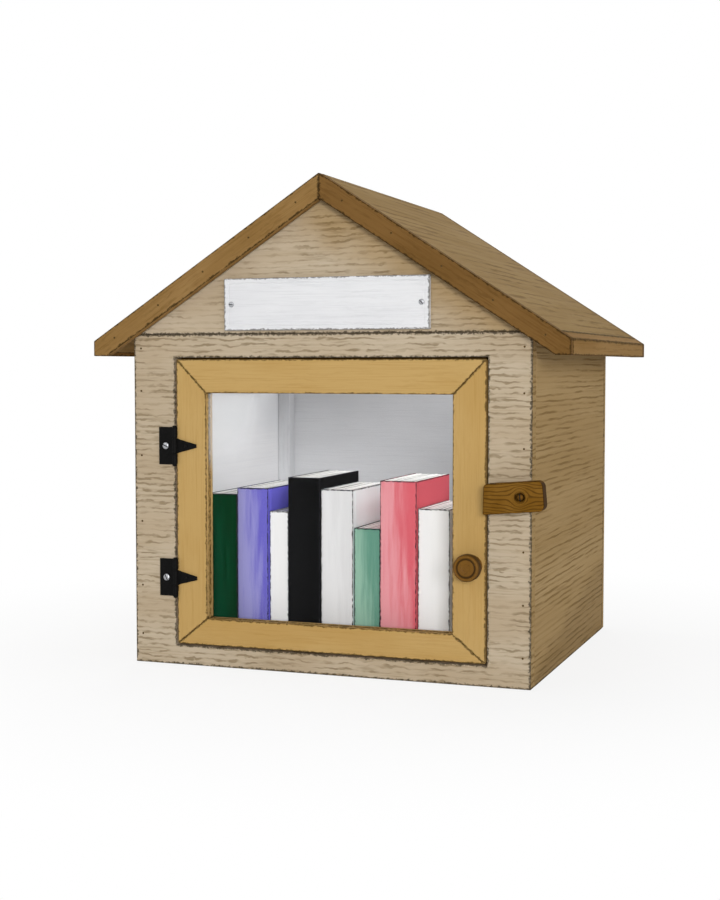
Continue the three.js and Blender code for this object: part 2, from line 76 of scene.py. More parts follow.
# Tones of the timbers: the base, a paler and a darker one, the strokes of the grain and the line along an edge
WEATHERED = {"base": "b9a68b", "pale": "c4b49c", "dark": "a99577", "stroke": "837153", "edge": "3a3226"}
BROWN = {"base": "a4885c", "pale": "af9469", "dark": "917549", "stroke": "755b33", "edge": "362c1c"}
# Darker copy of the side's brown: painted shade at the foot of the side walls
SHADED_BROWN = {"base": "8e744c", "pale": "987e57", "dark": "7c633c", "stroke": "65502e", "edge": "362c1c"}
ROOF = {"base": "917547", "pale": "9d8255", "dark": "7f6237", "stroke": "664c28", "edge": "362c1c"}
TRIM = {"base": "8b6a3c", "pale": "9a794b", "dark": "775627", "stroke": "60441b", "edge": "34260f"}
# Darker copy of the trim: painted shade on the right bargeboards
SHADED_TRIM = {"base": "6f5028", "pale": "7c5b31", "dark": "5e401a", "stroke": "4b3311", "edge": "34260f"}
DOOR = {"base": "bc985b", "pale": "c3a166", "dark": "b18b4d", "stroke": "a07a3b", "edge": "453314"}
DARK = {"base": "755018", "pale": "815b22", "dark": "5f4110", "stroke": "3e2809", "edge": "2a1c0a"}
PAINT = {"base": "eaebed", "pale": "f1f1f2", "dark": "e0e1e4", "stroke": "d3d4d7", "edge": "8d8e90"}
SIGN = {"base": "e2e2e4", "pale": "eaeaeb", "dark": "d5d5d7", "stroke": "cbcbcd", "edge": "55524d"}
# The inside paint, darker as painted shade: on the back panel and back gable inside and the back corner battens
SHADED_PAINT = {"base": "cecfd1", "pale": "d4d5d7", "dark": "c4c5c8", "stroke": "babbbe", "edge": "8d8e90"}

# Features of the grain of timber: their size along the grain, through the board and across it
CLOUD = (0.16, 0.07, 0.06)
PATCH = (0.05, 0.05, 0.035)
FIBRE = (0.07, 0.004, 0.0011)
DASH = (0.030, 0.03, 0.0030)
WAVE_GAP = (0.016, 0.03, 0.007)
WAVE_SWELL = (0.028, 0.05, 0.010)
WAVE_RIPPLE = (0.008, 0.05, 0.012)

# Strokes of the grain: how far apart the wavy ones lie, their share of the stroke's tone, and their depth
WAVE_PERIOD = 6.8 * MM
STROKE_SHARE = 0.68
STROKE_DEPTH = 0.35 * MM

# How much of the grain's relief shows through a stain or painted shade and through paint, and how strong painted
# shade is
STAIN_AND_SHADE_RELIEF = 1.0
PAINT_RELIEF = 0.12
PAINTED_SHADE_STRENGTH = 0.75

# Profile of the knob in millimetres, from axis to axis: the radius, and the place along Y from the knob's seat
KNOB_PROFILE = [
    (0, -24.2), (4.2, -24.2), (4.9, -24.6), (9.0, -24.9), (9.6, -23.8), (10.5, -23.8),
    (11.5, -25.9), (13.7, -25.6), (15, -22.6), (15, -14.5), (12.2, -11.4), (9, -7.8),
    (9, -4), (12, -2.4), (12, 0), (0, 0),
]

# Screws: the node each replaces, its body and slot, and in millimetres head radius, shank radius and head height
SCREWS = [
    ("hinge_top_leaf_screw", "box", "bright_steel", 4.2, 1.7, 1.6),
    ("hinge_bottom_leaf_screw", "box", "bright_steel", 4.2, 1.7, 1.6),
    ("hinge_top_strap_screw", "door", "black_iron", 2.6, 1.4, 1.1),
    ("hinge_bottom_strap_screw", "door", "black_iron", 2.6, 1.4, 1.1),
    ("sign_screw_left", "box", "bright_steel", 3.2, 1.5, 1.3),
    ("sign_screw_right", "box", "bright_steel", 3.2, 1.5, 1.3),
    ("latch_screw", "box", "dark_bronze", 4.4, 2.5, 3.0),
]

# Faces of the thin bar that shows as the slot of a screw
SLOT_FACES = 6

# Nails: the radius of a head, and the heights in millimetres at the left and the right of the front panel
NAIL_RADIUS = 1.2 * MM
NAIL_HEIGHTS = {-1: (34, 92, 168, 246, 322, 372), 1: (34, 92, 150, 262, 322, 372)}

# Places of the nails along a bargeboard, as shares of its width
RAKE_NAILS = (0.06, 0.28, 0.5, 0.72, 0.94)

# Books: tones of the spine, then of spine and side in painted shade, and in millimetres spine bulge and cover
# thickness
BOOKS = {
    "book_dark_green": ("0a4a2d", "023518", "04371c", 2.6, 1.6),
    "book_violet": ("a09eda", "6f69c9", "7f79f2", 4.5, 1.8),
    "book_white_slim": ("fdfdfc", "f8f8f7", "e2e2e0", 1.2, 0.8),
    "book_black": ("131314", "0a0a0b", "0d0d0e", 2.4, 1.8),
    "book_light_grey": ("eeeeee", "e3e3e3", "eafafa", 2.6, 1.2),
    "book_teal": ("9ac4ae", "679b87", "5b8d76", 1.6, 1.0),
    "book_coral": ("f2a2a9", "e26873", "f06b78", 2.2, 1.6),
    "book_white": ("fdfdfc", "f9f9f7", "e6e1d6", 1.6, 0.9),
}

# Tone of the broken line along the edges of a cover
COVER_LINE = "26262a"

# Lamps: the point that those outside are aimed at, and the place, size and power of each
LAMP_TARGET = (0, -0.1, 0.25)
LAMPS = {
    "front_light": ((2.5, -5.35, 1.2), (2.6, 1.4), 187),
    "key_light": ((-1.5, -2.4, 1.7), (1.6, 1.6), 8),
    "right_light": ((2.8, -0.75, 1.1), (1.2, 1.2), 13),
    "left_light": ((-2.9, 0.8, 1.0), (1.2, 1.2), 24),
    "back_light": ((-0.9, 3.2, 0.9), (1.6, 1.2), 40),
    "top_light": ((0, 0.3, 3.0), (1.8, 1.8), 22),
}

# Lamp inside the house: its place, the point it is aimed at, its size and its power
INSIDE_LAMP = ((0.13, -0.03, 0.4), (-0.1, -0.03, 0.29), (0.2, 0.2), 0.53)

# Even light from all round: its tone and its strength
WORLD_TONE = (0.96, 0.98, 1.0, 1)
WORLD_STRENGTH = 0.22

# Floor: its tone, half its width, and how far below the house it lies
FLOOR_TONE = (0.9, 0.9, 0.9, 1)
FLOOR_HALF = 20.0
FLOOR_DROP = 0.6 * MM

# White backdrop on the floor: the distances from the middle at which it starts and is full, and its least share
BACKDROP_FROM, BACKDROP_TO, BACKDROP_LEAST = 0.3, 0.8, 0.85


def tone(code):
    """A six-digit colour code as linear red, green, blue and alpha."""
    parts = [int(code[i : i + 2], 16) / 255 for i in (0, 2, 4)]
    return (*[p / 12.92 if p <= 0.04045 else ((p + 0.055) / 1.055) ** 2.4 for p in parts], 1)


def centre(node):
    """The middle of the box round a node."""
    return Vector([(low + high) / 2 for low, high in zip(*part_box(node))])


class Finish:
    """The node tree of one material: each method adds nodes and gives the output of the last one."""

    def __init__(self, name):
        self.material = bpy.data.materials.new(name)
        self.material.use_nodes = True
        self.nodes = self.material.node_tree.nodes
        self.links = self.material.node_tree.links
        self.nodes.clear()
        self.shader = self.nodes.new("ShaderNodeBsdfPrincipled")
        output = self.nodes.new("ShaderNodeOutputMaterial")
        self.links.new(self.shader.outputs["BSDF"], output.inputs["Surface"])
        coordinates = self.nodes.new("ShaderNodeTexCoord")
        self.place = coordinates.outputs["Object"]
        self.normal = coordinates.outputs["Normal"]

    def feed(self, socket, value):
        if isinstance(value, bpy.types.NodeSocket):
            self.links.new(value, socket)
        else:
            socket.default_value = value

    def math(self, operation, a, b=0.0, clamp=False):
        node = self.nodes.new("ShaderNodeMath")
        node.operation = operation
        node.use_clamp = clamp
        self.feed(node.inputs[0], a)
        self.feed(node.inputs[1], b)
        return node.outputs[0]

    def plus(self, a, b, clamp=False):
        return self.math("ADD", a, b, clamp)

    def minus(self, a, b):
        return self.math("SUBTRACT", a, b)

    def times(self, a, b, clamp=False):
        return self.math("MULTIPLY", a, b, clamp)

    def absolute(self, value):
        return self.math("ABSOLUTE", value)

    def length(self, a, b):
        """The length of the line whose two legs are a and b."""
        return self.math("SQRT", self.plus(self.times(a, a), self.times(b, b)))

    def dot(self, vector, direction):
        node = self.nodes.new("ShaderNodeVectorMath")
        node.operation = "DOT_PRODUCT"
        self.feed(node.inputs[0], vector)
        node.inputs[1].default_value = direction
        return node.outputs["Value"]

    def part(self, vector, axis):
        node = self.nodes.new("ShaderNodeSeparateXYZ")
        self.links.new(vector, node.inputs[0])
        return node.outputs[axis]

    def past(self, axis, start):
        """How far the place lies past a start, along one axis."""
        return self.minus(self.part(self.place, axis), start)

    def grained(self, grain, size, offset=(0, 0, 0)):
        """The place measured along the grain, through the board and across it, in units of a feature's size."""
        along, across = grain
        through = across.cross(along)
        node = self.nodes.new("ShaderNodeMapping")
        node.vector_type = "TEXTURE"
        self.links.new(self.place, node.inputs["Vector"])
        turn = Matrix((along, through, across)).transposed().to_euler()
        node.inputs["Rotation"].default_value = turn
        node.inputs["Location"].default_value = offset
        node.inputs["Scale"].default_value = size
        return node.outputs[0]

    def noise(self, place, scale=1.0, detail=2.0, roughness=0.5, distortion=0.0):
        node = self.nodes.new("ShaderNodeTexNoise")
        self.links.new(place, node.inputs["Vector"])
        node.inputs["Scale"].default_value = scale
        node.inputs["Detail"].default_value = detail
        node.inputs["Roughness"].default_value = roughness
        node.inputs["Distortion"].default_value = distortion
        return node.outputs[0]

    def figure(self, grain, size, offset=(0, 0, 0), detail=2.0, roughness=0.5, distortion=0.0):
        """A noise whose features have a size along the grain, through the board and across it."""
        return self.noise(self.grained(grain, size, offset), 1, detail, roughness, distortion)

    def wander(self, reach, scale, detail=2.0, roughness=0.5):
        """A noise spread evenly from -reach to reach."""
        return self.spread(self.noise(self.place, scale, detail, roughness), -reach, reach)

    def between(self, value, low, high):
        """From 0 at low to 1 at high, with soft ends."""
        node = self.nodes.new("ShaderNodeMapRange")
        node.interpolation_type = "SMOOTHSTEP"
        self.feed(node.inputs["Value"], value)
        node.inputs["From Min"].default_value = low
        node.inputs["From Max"].default_value = high
        return node.outputs["Result"]

    def fading(self, value, low, high):
        """From 1 at low to 0 at high, with soft ends."""
        return self.minus(1.0, self.between(value, low, high))

    def spread(self, value, low, high):
        """A value from 0 to 1 spread evenly from low to high."""
        node = self.nodes.new("ShaderNodeMapRange")
        self.feed(node.inputs["Value"], value)
        node.inputs["To Min"].default_value = low
        node.inputs["To Max"].default_value = high
        return node.outputs["Result"]

    def blend(self, factor, a, b):
        """From colour a at 0 to colour b at 1. The node has other sockets of the same names, hence the numbers."""
        node = self.nodes.new("ShaderNodeMix")
        node.data_type = "RGBA"
        self.feed(node.inputs["Factor"], factor)
        self.feed(node.inputs[6], a)
        self.feed(node.inputs[7], b)
        return node.outputs[2]

    def bump(self, height, depth):
        node = self.nodes.new("ShaderNodeBump")
        node.inputs["Distance"].default_value = depth
        self.links.new(height, node.inputs["Height"])
        return node.outputs[0]

    def surface(self, color, roughness, normal=None, **values):
        """The finished material. The names of further values are those of the shader's inputs."""
        self.feed(self.shader.inputs["Base Color"], color)
        self.feed(self.shader.inputs["Roughness"], roughness)
        if normal is not None:
            self.links.new(normal, self.shader.inputs["Normal"])
        for name, value in values.items():
            self.shader.inputs[name.replace("_", " ")].default_value = value
        return self.material


def hull_planes(node):
    """The larger flat faces of a node's hull, as outward directions and distances from the origin."""
    least_area, same_direction, same_distance = 2e-5, 0.999, 0.3 * MM
    hull = bmesh.new()
    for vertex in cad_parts[node].data.vertices:
        hull.verts.new(vertex.co)
    bmesh.ops.remove_doubles(hull, verts=hull.verts, dist=WELD_DISTANCE)
    bmesh.ops.convex_hull(hull, input=hull.verts)
    found = []
    for face in hull.faces:
        face.normal_update()
        normal = face.normal.copy()
        distance = normal.dot(face.verts[0].co)
        for plane in found:
            if plane[0].dot(normal) > same_direction and abs(plane[1] - distance) < same_distance:
                plane[2] += face.calc_area()
                break
        else:
            found.append([normal, distance, face.calc_area()])
    hull.free()
    return [(tuple(normal), distance) for normal, distance, area in found if area > least_area]


def edge_distance(finish, planes, extra=()):
    """How far a point of the surface is from the nearest edge: the second least distance from the planes."""
    distances = list(extra)
    for normal, distance in planes:
        distances.append(finish.minus(distance, finish.dot(finish.place, normal)))
    nearest, second = distances[0], None
    for distance in distances[1:]:
        later = finish.math("MAXIMUM", nearest, distance)
        second = later if second is None else finish.math("MINIMUM", second, later)
        nearest = finish.math("MINIMUM", nearest, distance)
    return second


def dots_and_dashes(finish, faint, full):
    """The strength of a broken line, from faint in its gaps to full."""
    dots = finish.between(finish.noise(finish.place, 330, 2, 0.6), 0.36, 0.5)
    return finish.spread(dots, faint, full)


def edge_line(finish, planes, extra, width):
    """A thin line along the edges, broken into dots and dashes."""
    distance = finish.plus(edge_distance(finish, planes, extra), finish.wander(1.8 * width, 210, 3, 0.65))
    line = finish.fading(distance, 0.5 * width, 1.1 * width)
    return finish.times(line, dots_and_dashes(finish, 0.45, 1.0))


def stretched(size, length, breadth=1.0):
    """The size of a feature stretched along the grain and across it."""
    along, through, across = size
    return (along * length, through, across * breadth)


def wavy_lines(finish, grain, offset, period, wander, length):
    """Wavy lines along the grain, a period apart: 1 on a line and 0 between the lines."""
    swell = finish.figure(grain, stretched(WAVE_SWELL, length), offset, 3, 0.55)
    ripple = finish.figure(grain, stretched(WAVE_RIPPLE, length), offset, 1)
    across = finish.part(finish.grained(grain, (1, 1, 1), offset), 2)
    phase = finish.times(across, math.tau / period)
    phase = finish.plus(phase, finish.spread(swell, -wander, wander))
    phase = finish.plus(phase, finish.spread(ripple, -1.4, 1.4))
    return finish.between(finish.math("SINE", phase), 0.15, 0.9)


def timber(name, tones, grain, planes=(), openings=(), seed=0, strokes=1.0, edges=0.85, dull=0.82, length=1.0,
           breadth=1.0, line=1.5, coats=()):
    """Timber with a stroked grain, cloudy tones, fine fibres and a dark broken line along its edges.

    planes are those that the edges lie on, and openings are further distances to an edge. length and breadth
    stretch the strokes along the grain and across it, and line is the width in millimetres of the line along the
    edges. Each coat is a test that gives 1 where the board is coated, the tones of that coat, and how much of the
    grain's relief shows through it.
    """
    finish = Finish(name)
    offset = (0.37 * seed, 0.53 * seed, 0.19 * seed)
    cloud = finish.figure(grain, stretched(CLOUD, length), offset, 3)
    fibre = finish.figure(grain, stretched(FIBRE, length), offset, 4, 0.6)
    dash = finish.figure(grain, stretched(DASH, length, breadth), offset, 2, 0.5, 0.1)
    patch = finish.figure(grain, stretched(PATCH, length), offset, 2)
    gaps = finish.figure(grain, stretched(WAVE_GAP, length, breadth), offset, 2)
    wave = wavy_lines(finish, grain, offset, WAVE_PERIOD * breadth, 5.0 / math.sqrt(length), length)
    wave = finish.times(wave, finish.spread(finish.between(gaps, 0.36, 0.6), 0.15, 1.0))
    dash = finish.times(finish.between(dash, 0.56, 0.72), 0.55)
    mark = finish.math("MAXIMUM", wave, dash)
    mark = finish.times(mark, finish.spread(finish.between(patch, 0.36, 0.6), 0.3, 1.1))
    mark = finish.times(mark, strokes, clamp=True)
    height = finish.minus(finish.times(fibre, 0.5), mark)

    def tinted(shades, stroke_share):
        shade = finish.blend(finish.between(cloud, 0.35, 0.65), tone(shades["base"]), tone(shades["pale"]))
        fibres = finish.times(finish.between(fibre, 0.48, 0.75), 0.6)
        shade = finish.blend(fibres, shade, tone(shades["dark"]))
        return finish.blend(finish.times(mark, stroke_share), shade, tone(shades["stroke"]))

    color = tinted(tones, STROKE_SHARE)
    # Some coats are paint or stain, and some are painted shade
    for test, coat, relief in coats:
        coated = test(finish)
        color = finish.blend(coated, color, tinted(coat, STROKE_SHARE * relief))
        height = finish.times(height, finish.spread(coated, 1.0, relief))
    if planes or openings:
        extra = [distance(finish) for distance in openings]
        lined = finish.times(edge_line(finish, planes, extra, line * MM), edges)
        color = finish.blend(lined, color, tone(tones["edge"]))
    roughness = finish.spread(finish.noise(finish.place, 90, 3), dull - 0.08, dull + 0.1)
    return finish.surface(color, roughness, finish.bump(height, STROKE_DEPTH), Specular_IOR_Level=0.05)


def facing(axis, sign):
    """A test for the faces that look along one axis."""

    def test(finish):
        return finish.math("GREATER_THAN", finish.times(finish.part(finish.normal, axis), sign), 0.5)

    return test


def at_the_sides(finish):
    """A test for the two ends of a board that runs across the house."""
    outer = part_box("side_panel_right")[1].x - 2 * MM
    end = finish.math("GREATER_THAN", finish.absolute(finish.part(finish.normal, 0)), 0.5)
    beyond = finish.math("GREATER_THAN", finish.absolute(finish.part(finish.place, 0)), outer)
    return finish.times(end, beyond)


def under_the_roof(finish):
    """A test for the undersides that lie within the walls."""
    low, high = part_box("side_panel_right")
    within = finish.math("LESS_THAN", finish.absolute(finish.part(finish.place, 0)), low.x)
    before = finish.math("GREATER_THAN", finish.part(finish.place, 1), low.y)
    behind = finish.math("LESS_THAN", finish.part(finish.place, 1), high.y)
    within = finish.times(within, finish.times(before, behind))
    return finish.times(within, facing(2, -1)(finish))


def below_the_rake(finish):
    """A test for the strip of a gable under its right slope, darkened there as painted shadow, which fades
    downwards.
    """
    outward = (math.sin(ROOF_PITCH), 0, math.cos(ROOF_PITCH))
    top = max(distance for normal, distance in hull_planes("gable_front") if Vector(normal).dot(outward) > 0.99)
    below = finish.minus(top, finish.dot(finish.place, outward))
    below = finish.plus(below, finish.wander(20 * MM, 25, 3))
    return finish.times(finish.fading(below, 12 * MM, 62 * MM), PAINTED_SHADE_STRENGTH)


def near_the_ground(finish):
    """A test for the foot of a side wall, darker there as painted shade, which reaches higher towards the back."""
    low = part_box("side_panel_right")[0]
    rise = 0.22
    above = finish.minus(finish.past(2, low.z), finish.times(finish.past(1, low.y), rise))
    above = finish.plus(above, finish.wander(14 * MM, 16, 2))
    return finish.times(finish.fading(above, -6 * MM, 26 * MM), PAINTED_SHADE_STRENGTH)


def doorway_distance(finish):
    """Distance outwards from the sides of the door opening, in the plane of the front panel."""
    lap, gap, hidden = 10 * MM, 2 * MM, 0.5 * MM
    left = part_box("door_stop_left")[1].x - lap
    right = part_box("door_stop_right")[0].x + lap
    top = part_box("door_stop_top")[0].z + lap
    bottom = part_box("door_rail_bottom")[0].z - gap
    across = finish.past(0, (left + right) / 2)
    upward = finish.past(2, (bottom + top) / 2)
    beside = finish.minus(finish.absolute(across), (right - left) / 2)
    above = finish.minus(finish.absolute(upward), (top - bottom) / 2)
    return finish.plus(finish.math("MAXIMUM", beside, above), hidden)


def dress(node, material):
    """Gives a node of the frame its material."""
    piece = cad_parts[node]
    piece.data.materials.clear()
    piece.data.materials.append(material)
    return piece


def round_edges(piece, width, segments=2):
    """Rounds the sharp edges, once flat neighbours are merged so that no narrow face turns over in the rounding."""
    weld = piece.modifiers.new("joined", "WELD")
    weld.merge_threshold = WELD_DISTANCE
    flat = piece.modifiers.new("flat", "DECIMATE")
    flat.decimate_type = "DISSOLVE"
    flat.angle_limit = math.radians(0.5)
    bevel = piece.modifiers.new("rounded", "BEVEL")
    bevel.width = width
    bevel.segments = segments
    bevel.limit_method = "ANGLE"
    bevel.angle_limit = math.radians(40)
    bevel.use_clamp_overlap = False
    bevel.loop_slide = False


def board(node, tones, grain, seed, width=1.0, unlined=None, **options):
    """A board of the frame, in its timber. unlined is the direction of a face whose edges get no line."""
    planes = hull_planes(node)
    if unlined is not None:
        planes = [plane for plane in planes if Vector(plane[0]).dot(unlined) < 0.9]
    options["planes"] = planes
    piece = dress(node, timber(f"{node}_timber", tones, grain, seed=seed, **options))
    round_edges(piece, width * MM)


def dress_carcass():
    ends = (at_the_sides, BROWN, STAIN_AND_SHADE_RELIEF)
    shadow_under_rake = (below_the_rake, BROWN, STAIN_AND_SHADE_RELIEF)
    faced_front = [(facing(1, 1), PAINT, PAINT_RELIEF), ends]
    faced_back = [(facing(1, -1), SHADED_PAINT, PAINT_RELIEF), ends]
    beneath = [(under_the_roof, PAINT, PAINT_RELIEF)]
    board("front_panel", WEATHERED, ALONG_X, 1, 0.5, (0, 1, 0), coats=faced_front, openings=[doorway_distance],
          strokes=1.15, line=2.3)
    board("gable_front", WEATHERED, ALONG_X, 2, line=1.9, coats=[*faced_front, shadow_under_rake])
    board("back_panel", WEATHERED, ALONG_X, 3, coats=faced_back)
    board("gable_back", WEATHERED, ALONG_X, 4, coats=faced_back)
    for seed, (side, sign) in enumerate((("left", 1), ("right", -1)), 5):
        walled = [(near_the_ground, SHADED_BROWN, STAIN_AND_SHADE_RELIEF), (facing(0, sign), PAINT, PAINT_RELIEF)]
        # The right bargeboards take the darker trim as painted shade
        rake = TRIM if side == "left" else SHADED_TRIM
        board(f"side_panel_{side}", BROWN, ALONG_Y, seed, 0.3, (0, -1, 0), coats=walled, length=5.0, line=2.1)
        board(f"roof_panel_{side}", ROOF, ROOF_GRAIN[side], seed + 2, 0.3, coats=beneath, strokes=0.8,
              length=4.0, breadth=2.0, line=1.6)
        board(f"eave_fascia_{side}", TRIM, ALONG_Y, seed + 4, strokes=0.4, length=2.0, line=1.8)
        board(f"bargeboard_front_{side}", rake, RAKE_GRAIN[side], seed + 6, strokes=0.4, line=1.8)
        board(f"bargeboard_back_{side}", rake, RAKE_GRAIN[side], seed + 8, strokes=0.4, line=1.8)


def dress_inside():
    behind, beneath = [(facing(axis, sign), PAINT, PAINT_RELIEF) for axis, sign in ((1, 1), (2, -1))]
    board("floor_panel", PAINT, FLAT_ALONG_X, 20, strokes=0.4, edges=0.5)
    board("ridge_batten", PAINT, ALONG_Y, 21, strokes=0.4, edges=0.5)
    # The door stops keep the dark timber on the faces towards the door: painted shade in the gap round the door
    board("door_stop_top", DARK, ALONG_X, 22, strokes=0.4, edges=0.3, coats=[behind, beneath])
    for seed, (side, sign) in enumerate((("left", 1), ("right", -1)), 23):
        painted = [behind, (facing(0, sign), PAINT, PAINT_RELIEF)]
        board(f"door_stop_{side}", DARK, ALONG_Z, seed, strokes=0.4, edges=0.3, coats=painted)
        for end, tones, edges in (("front", PAINT, 0.3), ("back", SHADED_PAINT, 0.08)):
            board(f"corner_batten_{end}_{side}", tones, ALONG_Z, seed + 2, strokes=0.4, edges=edges)


def dress_door():
    for seed, side in enumerate(("left", "right"), 30):
        board(f"door_stile_{side}", DOOR, ALONG_Z, seed, 0.8, strokes=0.14, edges=0.8, dull=0.6)
        board(f"glazing_bead_{side}", DOOR, ALONG_Z, seed + 4, 0.6, strokes=0.2, dull=0.6)
    for seed, end in enumerate(("top", "bottom"), 32):
        board(f"door_rail_{end}", DOOR, ALONG_X, seed, 0.8, strokes=0.2, edges=0.8, dull=0.6)
        board(f"glazing_bead_{end}", DOOR, ALONG_X, seed + 4, 0.6, strokes=0.2, dull=0.6)


def pane_material():
    """Clear glass, with a painted reflection: a pale patch in its upper left corner."""
    finish = Finish("pane_glass")
    low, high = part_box("door_pane")
    reflection_width, reflection_height, reflection_strength = 80 * MM, 110 * MM, 0.24
    aside = finish.math("DIVIDE", finish.past(0, low.x), reflection_width)
    down = finish.math("DIVIDE", finish.minus(high.z, finish.part(finish.place, 2)), reflection_height)
    reach = finish.plus(finish.length(aside, down), finish.wander(0.2, 14))
    reflection_patch = finish.fading(reach, 0.65, 1.15)
    gloss = finish.nodes.new("ShaderNodeFresnel")
    gloss.inputs["IOR"].default_value = 1.25
    clear = finish.times(gloss.outputs[0], 0.2)
    alpha = finish.plus(clear, finish.times(reflection_patch, reflection_strength), clamp=True)
    finish.links.new(alpha, finish.shader.inputs["Alpha"])
    finish.links.new(finish.minus(1.0, reflection_patch), finish.shader.inputs["Metallic"])
    smear = finish.spread(finish.noise(finish.place, 30, 3), 0.02, 0.07)
    return finish.surface(tone("f2f4f5"), smear)


def iron(name, seed):
    """Black painted iron with a fine hammered skin and a little bare metal showing through."""
    finish = Finish(name)
    skin = finish.noise(finish.place, 420, 3, 0.6)
    wear = finish.between(finish.noise(finish.place, 150 + seed, 4, 0.7), 0.64, 0.78)
    color = finish.blend(finish.between(skin, 0.3, 0.8), tone("080807"), tone("131212"))
    color = finish.blend(finish.times(wear, 0.4), color, tone("4a4642"))
    hammered = finish.bump(skin, 0.12 * MM)
    return finish.surface(color, finish.spread(skin, 0.45, 0.65), hammered, Specular_IOR_Level=0.06)


def steel(name, pale="b2b3b6", dark="94969a", dull=0.22):
    """Plated metal with a fine mottled skin."""
    finish = Finish(name)
    skin = finish.noise(finish.place, 700, 3, 0.6)
    color = finish.blend(skin, tone(pale), tone(dark))
    mottled = finish.bump(skin, 0.04 * MM)
    return finish.surface(color, finish.spread(skin, dull, dull + 0.2), mottled, Metallic=1.0)


def dress_hardware():
    for seed, name in enumerate(("top", "bottom")):
        finish = iron(f"hinge_{name}_iron", seed)
        for part, width in (("leaf", 0.4), ("strap", 0.4), ("pin", 0.3)):
            round_edges(dress(f"hinge_{name}_{part}", finish), width * MM)
    round_edges(dress("latch_washer", steel("washer_steel")), 0.3 * MM)
    dress("door_pane", pane_material())
    round_edges(dress("latch_bar", latch_material()), 1.2 * MM, 3)


def add(name, body, slot, material, mesh, *nodes):
    """Puts a new piece into the scene, on its body and in place of its nodes."""
    piece = bpy.data.objects.new(name, mesh)
    bpy.context.scene.collection.objects.link(piece)
    mesh.materials.append(material)
    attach(piece, body)
    if nodes:
        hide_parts(*nodes)
    return piece


def mesh_from(name, build, smooth=False):
    """A mesh made by a function that fills an empty one."""
    work = bmesh.new()
    build(work)
    bmesh.ops.recalc_face_normals(work, faces=work.faces)
    mesh = bpy.data.meshes.new(name)
    work.to_mesh(mesh)
    work.free()
    if smooth:
        mesh.shade_smooth()
    return mesh


def turned(work, profile, place, steps):
    """A turned shape about a line along Y: the profile is radius and distance along Y, from axis to axis."""
    rings = []
    for radius, along in profile:
        if radius == 0:
            rings.append([work.verts.new(place + Vector((0, along, 0)))])
            continue
        ring = []
        for step in range(steps):
            turn = math.tau * step / steps
            ring.append(work.verts.new(place + Vector((radius * math.cos(turn), along, radius * math.sin(turn)))))
        rings.append(ring)
    for low, high in zip(rings, rings[1:]):
        for step in range(steps):
            after = (step + 1) % steps
            if len(low) == 1:
                work.faces.new((low[0], high[step], high[after]))
            elif len(high) == 1:
                work.faces.new((low[step], low[after], high[0]))
            else:
                work.faces.new((low[step], low[after], high[after], high[step]))


def skinned(work, outlines):
    """A solid through a row of outlines that all have the same number of points."""
    rings = [[work.verts.new(point) for point in outline] for outline in outlines]
    for first, second in zip(rings, rings[1:]):
        for i in range(len(first)):
            j = (i + 1) % len(first)
            work.faces.new((first[i], first[j], second[j], second[i]))
    work.faces.new(rings[-1])
    work.faces.new(reversed(rings[0]))


def rounded_profile(points, radius, steps=5):
    """The profile with each inner corner turned into a small arc."""
    longest_share, least_radius = 0.45, 1e-6
    curve = [points[0]]
    for before, corner, after in zip(points, points[1:], points[2:]):
        corner_point = Vector(corner)
        back = Vector(before) - corner_point
        on = Vector(after) - corner_point
        reach = min(radius, back.length * longest_share, on.length * longest_share)
        start = corner_point + back.normalized() * reach
        end = corner_point + on.normalized() * reach
        for step in range(steps + 1):
            t = step / steps
            point = start * (1 - t) ** 2 + corner_point * 2 * t * (1 - t) + end * t * t
            curve.append((max(point.x, least_radius), point.y))
    curve.append(points[-1])
    return curve


def add_knob():
    """The knob, turned with a ring round a dished face and a deep groove inside the ring."""
    place = centre("door_knob")
    place.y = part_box("door_knob")[1].y
    profile = rounded_profile([(r * MM, a * MM) for r, a in KNOB_PROFILE], 0.9 * MM)
    mesh = mesh_from("door_knob_turned", lambda work: turned(work, profile, place, 72), True)
    add("door_knob_turned", "door", "dark_timber", knob_material(place), mesh, "door_knob")


def knob_material(place):
    """Dark end grain with rings about the knob's own line."""
    finish = Finish("knob_timber")
    ring_phase, groove_radius = 4200, 10.0 * MM
    radius = finish.length(finish.past(0, place.x), finish.past(2, place.z))
    rings = finish.math("SINE", finish.times(radius, ring_phase))
    speckle = finish.noise(finish.place, 380, 4, 0.65)
    cloud = finish.noise(finish.place, 60, 2)
    # Painted shade: darker in the groove inside the ring and from the rim round the side
    groove = finish.fading(finish.absolute(finish.minus(radius, groove_radius)), 0.4 * MM, 1.5 * MM)
    rim = finish.between(radius, 13.6 * MM, 14.9 * MM)
    shaded = finish.times(finish.math("MAXIMUM", groove, rim), 0.75)
    color = finish.blend(finish.between(cloud, 0.35, 0.65), tone("704c19"), tone(DARK["base"]))
    color = finish.blend(finish.times(finish.between(rings, -0.2, 1.0), 0.25), color, tone("5d3e10"))
    color = finish.blend(finish.between(speckle, 0.55, 0.8), color, tone(DARK["stroke"]))
    color = finish.blend(shaded, color, tone(DARK["edge"]))
    pitted = finish.bump(speckle, 0.12 * MM)
    return finish.surface(color, finish.spread(speckle, 0.42, 0.62), pitted, Specular_IOR_Level=0.12)


